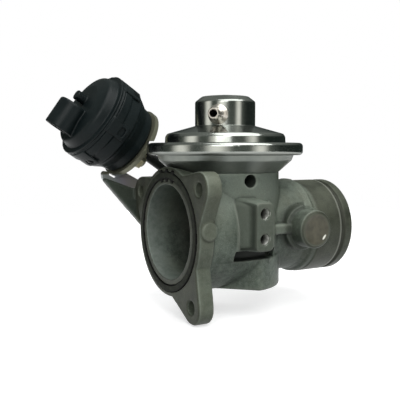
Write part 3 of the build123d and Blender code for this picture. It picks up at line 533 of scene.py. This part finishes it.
rubber = Finish("black_rubber", specular_ior_level=0.15)
dust = rubber.noise(3.0, 5.0, 0.6)
seal_radius = rubber.axis("Y").hypot(rubber.axis("Z"))
# painted shade: the seal's edges down in the groove are made black
painted_groove_shade = (seal_radius.above(28.6, 0.5) + seal_radius.below(26.3, 0.4)).clamped()
rubber_tone = rubber.ramp(dust, (0.38, (0.009, 0.011, 0.007)), (0.66, (0.036, 0.041, 0.029)))
rubber.set(base_color=rubber.blend(painted_groove_shade * 0.9, rubber_tone, (0.002, 0.002, 0.002)))
rubber.set(roughness=0.55 + dust * 0.25)
rubber.bump(rubber.noise(0.6), 0.03)
cast_skin("flange_seal", "moulded_seal", rubber, grid=0.3, rounds=5)

# ---------------------------------------------------------------- throttle flap and its bearings
# A brass disc, screwed to a zinc-plated steel shaft that turns in two brass bushes pressed
# into the bosses. A washer takes the thrust at the lever's end.


def dress(finish, *nodes):
    """Gives CAD nodes a finish."""
    for node in nodes:
        materials = frame["nodes"][node].data.materials
        materials.clear()
        materials.append(finish.material)


brass = Finish("rolled_brass", metallic=0.9, base_color=(0.45, 0.33, 0.16))
brass.set(roughness=0.3 + brass.noise(5.0) * 0.15)
dress(brass, "flap_disc", "shaft_bush_front", "shaft_bush_rear")

zinc = Finish("bright_zinc", metallic=0.9, base_color=(0.55, 0.56, 0.56))
zinc.set(roughness=0.28 + zinc.noise(4.0) * 0.15)
dress(zinc, "flap_shaft", "flap_screws", "thrust_washer")

# ---------------------------------------------------------------- plug of the front boss
# A dished steel cup, pressed into the end of the shaft's bore to close it. Its skin is
# browned, with one bright painted glint near the edge.

plug_steel = Finish("pressed_plug")
plug_right, plug_up = plug_steel.axis("X") - shaft_x, plug_steel.axis("Z") - shaft_z
rim = plug_right.hypot(plug_up).above(7.2, 0.5)
# painted glint: a bright spot near the plug's edge
glint_x, glint_z, glint_length, glint_width = 4.9, -4.0, 1.6, 0.5
lean_x, lean_z = 0.62, 0.78
glint_right, glint_up = plug_right - glint_x, plug_up - glint_z
glint_along = (glint_right * lean_x + glint_up * lean_z) / glint_length
glint_across = (glint_right * lean_z - glint_up * lean_x) / glint_width
painted_glint = glint_along.hypot(glint_across).below(0.9, 0.4)
plug_tone = plug_steel.ramp(
    plug_steel.noise(4.0, 4.0),
    (0.35, (0.052, 0.050, 0.033)),
    (0.65, (0.088, 0.083, 0.056)),
)
plug_tone = plug_steel.blend(rim, plug_tone, (0.075, 0.080, 0.058))
plug_steel.set(base_color=plug_steel.blend(painted_glint, plug_tone, (0.80, 0.80, 0.72)))
plug_steel.set(metallic=0.2 + rim * 0.3, roughness=0.42 + plug_steel.noise(1.0) * 0.1 - rim * 0.1)

plug_low, plug_high = corners("boss_plug")
plug_depth = plug_high[1] - plug_low[1]
press_allowance, plug_wall, floor_depth = 0.15, 0.8, 1.3
plug_radius = (plug_high[0] - plug_low[0]) / 2 - press_allowance
# (radius, depth under the boss's face), from the middle of the dish over the rolled lip
plug_profile = (
    (0.0, 0.50),
    (3.0, 0.48),
    (5.6, 0.40),
    (6.3, 0.28),
    (6.7, 0.10),
    (7.1, -0.02),
    (7.5, -0.08),
    (7.9, -0.09),
    (8.1, -0.04),
    (8.15, 0.03),
    (plug_radius, 0.12),
    (plug_radius, plug_depth),
    (plug_radius - plug_wall, plug_depth),
    (plug_radius - plug_wall - 0.1, floor_depth),
    (0.0, floor_depth),
)
axis, across, upward = square_to((0, 1, 0))
plug_face = Vector((shaft_x, plug_low[1], shaft_z))
form = bmesh.new()
rows = []
for radius, deep in plug_profile:
    count = 96 if radius else 1
    rows.append(ring(form, plug_face + axis * deep, across, upward, [radius] * count))
bridge(form, rows)
bmesh.ops.recalc_face_normals(form, faces=form.faces)
plug = fitted(form, "pressed_core_plug", plug_steel)
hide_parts("boss_plug")

# ---------------------------------------------------------------- exhaust valve
# A steel poppet valve on a pressed-in seat ring, in a brass guide with a rubber cap seal.
# Two pressed plates and a nut hold the can's diaphragm on its stem.

steel = Finish("valve_steel", metallic=0.9, base_color=(0.3, 0.3, 0.3))
steel.set(roughness=0.35 + steel.noise(5.0) * 0.15)
dress(steel, "poppet_valve", "valve_seat_insert", "stem_nut")
dress(steel, "diaphragm_plate_lower", "diaphragm_plate_upper")
dress(brass, "stem_guide")
dress(rubber, "stem_seal")

# ---------------------------------------------------------------- vacuum can
# The lower dish is plated satin and screwed to the tower. The upper half is one deep-drawn
# sheet, plated and polished, whose edge is rolled over the dish and the rubber diaphragm.

satin = Finish("satin_plating", metallic=0.85)
satin.set(base_color=satin.ramp(satin.noise(10.0), (0.3, (0.15, 0.165, 0.15)), (0.7, (0.22, 0.235, 0.21))))
satin.set(roughness=0.34 + satin.noise(6.0) * 0.14)
dress(satin, "can_lower_shell")
dress(zinc, "can_screws")
dress(rubber, "can_diaphragm")

polished = Finish("polished_plating", metallic=1.0)
# the rolled edge is rougher, and its colour is darkened as painted shade
dull_and_shaded_roll = polished.axis("Z").below(38.2, 1.4)
haze = polished.ramp(polished.noise(16.0, 4.0), (0.35, (0.27, 0.285, 0.265)), (0.65, (0.36, 0.375, 0.35)))
polished.set(base_color=polished.blend(dull_and_shaded_roll * 0.8, haze, (0.13, 0.14, 0.125)))
polished.set(roughness=0.10 + polished.noise(12.0, 5.0) * 0.14 + dull_and_shaded_roll * 0.25)
polished.bump(polished.noise(9.0, 1.0), 0.05)
dress(polished, "can_upper_shell")

# ---------------------------------------------------------------- nipple of the can
# A small turned tube with a bead that holds the vacuum hose, brazed to the side of the cap
# over a formed collar. It is plated bright.

nipple = Finish("bright_nipple", metallic=1.0, base_color=(0.50, 0.47, 0.42))
nipple.set(roughness=0.24 + nipple.noise(3.0) * 0.12)
dress(nipple, "can_nipple")

# ---------------------------------------------------------------- actuator bracket
# A round steel seat plate welded across a flat leg, zinc plated and chromated, with a
# violet and yellow bloom on the leg. Two hexagon screws with an olive finish hold it to the
# cast arm.

chromate = Finish("yellow_chromate", metallic=0.55)
on_leg = chromate.axis("Z").below(26.5, 1.0)
bloom = chromate.noise(9.0, 2.0) * 0.4 + chromate.axis("X").above(-8.5, 12.0) * on_leg * 0.5
leg_tone = chromate.ramp(
    bloom,
    (0.15, (0.54, 0.58, 0.58)),
    (0.30, (0.50, 0.53, 0.51)),
    (0.45, (0.50, 0.52, 0.57)),
    (0.62, (0.48, 0.435, 0.49)),
    (0.90, (0.48, 0.48, 0.38)),
)
# painted shade: the seat plate above the leg is made dark, as under the actuator
chromate.set(base_color=chromate.blend(1 - on_leg, leg_tone, (0.18, 0.18, 0.13)))
chromate.set(roughness=0.3 + chromate.noise(3.0) * 0.15)
dress(chromate, "bracket")

olive_zinc = Finish("olive_zinc", metallic=0.75)
olive_stain = olive_zinc.noise(2.5, 4.0)
olive_tones = ((0.32, (0.30, 0.27, 0.16)), (0.5, (0.40, 0.38, 0.26)), (0.7, (0.42, 0.43, 0.38)))
olive_zinc.set(base_color=olive_zinc.ramp(olive_stain, *olive_tones), roughness=0.28 + olive_stain * 0.2)
dress(olive_zinc, "bracket_screws")

# ---------------------------------------------------------------- throttle actuator
# A case of black glass-filled nylon in two snapped halves; the dome carries the port's
# shroud. Two studs with nuts hold it on the bracket, and a brass bush guides the rod.

nylon = Finish("glass_filled_nylon", specular_ior_level=0.14)
nylon_tones = ((0.3, (0.0035, 0.0065, 0.0070)), (0.7, (0.0080, 0.0125, 0.0130)))
nylon.set(base_color=nylon.ramp(nylon.noise(14.0), *nylon_tones))
nylon.set(roughness=0.30 + nylon.noise(7.0) * 0.18)
nylon.bump(nylon.noise(0.35, 2.0), 0.03)
cast_skin("actuator_upper_case", "moulded_upper_case", nylon, grid=0.4, rounds=5)
cast_skin("actuator_lower_case", "moulded_lower_case", nylon, grid=0.4, rounds=5)
dress(nylon, "actuator_port_nipple")
dress(olive_zinc, "actuator_studs", "actuator_nuts")
dress(rubber, "actuator_diaphragm")
dress(steel, "actuator_cup", "actuator_plate")
dress(brass, "rod_bush")

# ---------------------------------------------------------------- rod and lever
# A blackened steel rod, with a flat eye crimped on its end, pulls a zinc-plated pin in the
# lever. The lever is steel plate with an olive finish, on the shaft's flatted end under a nut.

phosphate = Finish("black_phosphate", metallic=0.5)
phosphate_tones = ((0.3, (0.026, 0.028, 0.026)), (0.7, (0.040, 0.042, 0.039)))
phosphate.set(base_color=phosphate.ramp(phosphate.noise(2.5, 4.0), *phosphate_tones))
phosphate.set(roughness=0.45 + phosphate.noise(1.0) * 0.15)
dress(phosphate, "actuator_rod", "rod_eye")
dress(zinc, "lever_pin")
dress(olive_zinc, "lever", "lever_nut")

# ---------------------------------------------------------------- return springs
# Two cold-wound compression springs of round wire press the valve and the rod home.

spring_wire = Finish("oiled_spring_wire", metallic=0.9)
wire_tones = ((0.3, (0.16, 0.16, 0.155)), (0.7, (0.26, 0.26, 0.25)))
spring_wire.set(base_color=spring_wire.ramp(spring_wire.noise(2.0), *wire_tones))
spring_wire.set(roughness=0.3 + spring_wire.noise(1.5) * 0.2)


def wound(name, node, wire, turns, direction, centre, joint, travel):
    """Coil that fills the space of a CAD node. Sizes are in mm, and the wire's size is its
    radius. The joint and the travel are not used."""
    axis, across, upward = square_to(direction)
    points = [vertex.co / MM - Vector(centre) for vertex in frame["nodes"][node].data.vertices]
    heights = [point.dot(axis) for point in points]
    reach = max((point - axis * height).length for point, height in zip(points, heights))
    start, end, radius = min(heights) + wire, max(heights) - wire, reach - wire
    steps_per_turn, around = 40, 12
    steps = int(turns * steps_per_turn)
    form = bmesh.new()
    rows = []
    for step in range(steps + 1):
        share = step / steps
        angle = 2 * math.pi * turns * share
        outward = across * math.cos(angle) + upward * math.sin(angle)
        height = start + (end - start) * ease(0.0, 1.0, share)
        place = Vector(centre) + axis * height + outward * radius
        rows.append(ring(form, place, outward, axis, [wire] * around))
    bridge(form, rows)
    form.faces.new(rows[0])
    form.faces.new(rows[-1])
    bmesh.ops.recalc_face_normals(form, faces=form.faces)
    piece = fitted(form, name, spring_wire)
    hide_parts(node)
    length = end - start + 2 * wire
    top = (Vector(centre) + axis * (end + wire)) * MM
    (length - travel) / length
    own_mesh(piece)


joints = {joint["name"]: joint for joint in frame["joints"]}
valve_axis, rod_axis = joints["valve_lift"]["axis"], joints["rod_slide"]["axis"]
valve_foot, actuator_centre = (middle("stem_guide")[0], 0, 0), (-17.0, 40.0, 53.8)
valve_wire, valve_turns, valve_travel = 1.6, 4.5, 6.0
rod_wire, rod_turns, rod_travel = 0.9, 3.0, 13.2
valve_coil = ("valve_return_spring", "can_spring", valve_wire, valve_turns)
rod_coil = ("rod_return_spring", "actuator_spring", rod_wire, rod_turns)
wound(*valve_coil, valve_axis, valve_foot, "valve_lift", valve_travel)
wound(*rod_coil, rod_axis, actuator_centre, "rod_slide", rod_travel)

# ---------------------------------------------------------------- floor
# White paper under the part. It is seen white but throws back little light, so that the
# underside keeps its shade.

floor_reach, floor_z = 0.5, cad_box[0].z - 0.0002
floor_corners = [(x * floor_reach, y * floor_reach, floor_z) for x, y in ((-1, -1), (1, -1), (1, 1), (-1, 1))]
floor_mesh = bpy.data.meshes.new("floor")
floor_mesh.from_pydata(floor_corners, [], [(0, 1, 2, 3)])
floor = bpy.data.objects.new("floor", floor_mesh)
bpy.context.collection.objects.link(floor)

paper = Finish("pale_floor", roughness=0.9)
camera_ray = paper.add("LightPath", {}, {}, "Is Camera Ray")
seen = (camera_ray + camera_ray.beside("Is Glossy Ray") + camera_ray.beside("Is Transmission Ray")).clamped()
paper.set(base_color=paper.blend(seen, (0.12, 0.12, 0.12), (0.60, 0.60, 0.60)))
matt = Wire(paper, paper.surface.outputs[0])
glow = paper.add("Emission", {}, {"Color": (1.0, 1.0, 1.0), "Strength": 0.60})
glowing = paper.add("AddShader", {}, {0: matt, 1: glow})
shown = paper.add("MixShader", {}, {"Fac": seen, 1: matt, 2: glowing})
paper.feed(paper.tree.nodes["Material Output"].inputs["Surface"], shown)
floor_mesh.materials.append(paper.material)

# ---------------------------------------------------------------- camera
# Level with the can, in front of the flange's left side, looking a little down.

camera_place = Vector((-0.138658, -0.273601, 0.039535))
camera_right = Vector((0.8672, -0.498, 0.0)).normalized()
camera_ahead = Vector((0.4965, 0.8645, -0.0786)).normalized()
camera_up = camera_right.cross(camera_ahead).normalized()
camera = bpy.data.objects.new("camera", bpy.data.cameras.new("camera"))
turn = Matrix((camera_right, camera_up, -camera_ahead)).transposed()
camera.matrix_world = Matrix.Translation(camera_place) @ turn.to_4x4()
camera.data.lens = 57.41
camera.data.sensor_width = 36.0
bpy.context.collection.objects.link(camera)
bpy.context.scene.camera = camera

# ---------------------------------------------------------------- studio walls
# White for the camera and soft for matt surfaces. What shines sees dark walls with three
# tall bright panels, placed by their bearing from the camera, in degrees to the right.

world = bpy.data.worlds.new("studio")
bpy.context.scene.world = world
world.use_nodes = True
world.node_tree.nodes.clear()
walls = Shader(world.node_tree)
around = walls.add("TexCoord", {}, {}, "Generated")
east = walls.add("SeparateXYZ", {}, {"Vector": around}, "X")
north, height = east.beside("Y"), east.beside("Z")
camera_heading = math.degrees(math.atan2(-camera_ahead.x, -camera_ahead.y))
bearing = camera_heading - east.math("ARCTAN2", east, north) * (180 / math.pi)
bearing = bearing.math("WRAP", bearing, 180.0, -180.0)
dim, grey, bright = (0.03, 0.04, 0.035), (0.14, 0.16, 0.14), (1.9, 1.85, 1.75)
bands = (
    (-180, dim),
    (-105, dim),
    (-86, grey),
    (-73, bright),
    (-63, bright),
    (-52, grey),
    (-34, grey),
    (-20, bright),
    (-10, bright),
    (8, grey),
    (34, grey),
    (48, bright),
    (54, bright),
    (64, grey),
    (84, dim),
    (180, dim),
)
panels = walls.ramp(bearing / 360 + 0.5, *[(angle / 360 + 0.5, colour) for angle, colour in bands])
ceiling = height.above(0.45, 0.5)
reflected = walls.blend(ceiling, panels, (0.30, 0.32, 0.30))
mirror = walls.add("Background", {}, {"Color": reflected, "Strength": 1.0})
soft = walls.add("Background", {}, {"Color": (0.92, 0.97, 1.0), "Strength": 0.24})
white = walls.add("Background", {}, {"Color": (1.0, 1.0, 1.0), "Strength": 1.0})
camera_ray = walls.add("LightPath", {}, {}, "Is Camera Ray")
lit = walls.add("MixShader", {}, {0: camera_ray.beside("Is Glossy Ray"), 1: soft, 2: mirror})
seen = (camera_ray + camera_ray.beside("Is Transmission Ray")).clamped()
shown = walls.add("MixShader", {}, {0: seen, 1: lit, 2: white})
output = walls.tree.nodes.new("ShaderNodeOutputWorld")
walls.feed(output.inputs["Surface"], shown)

# ---------------------------------------------------------------- lamps
# A wide soft light overhead, a weaker one level with the flange's mouth, and one from
# behind that shows in no reflection.

aim = Vector((0.03, 0, 0.02))


def lamp(name, place, size, watts):
    """Square area light that points at the middle of the part."""
    light = bpy.data.lights.new(name, "AREA")
    light.shape = "RECTANGLE"
    light.size = size
    light.size_y = size
    light.energy = watts
    holder = bpy.data.objects.new(name, light)
    holder.location = place
    holder.rotation_euler = (aim - Vector(place)).to_track_quat("-Z", "Y").to_euler()
    bpy.context.collection.objects.link(holder)
    return holder


lamp("key", (0.12, -0.42, 0.90), 1.1, 12.5)
lamp("fill", (-0.50, -0.75, 0.42), 0.5, 3.2)
lamp("rear", (0.25, 0.75, 0.6), 0.6, 6.0).visible_glossy = False

bpy.context.scene.view_settings.view_transform = "Standard"
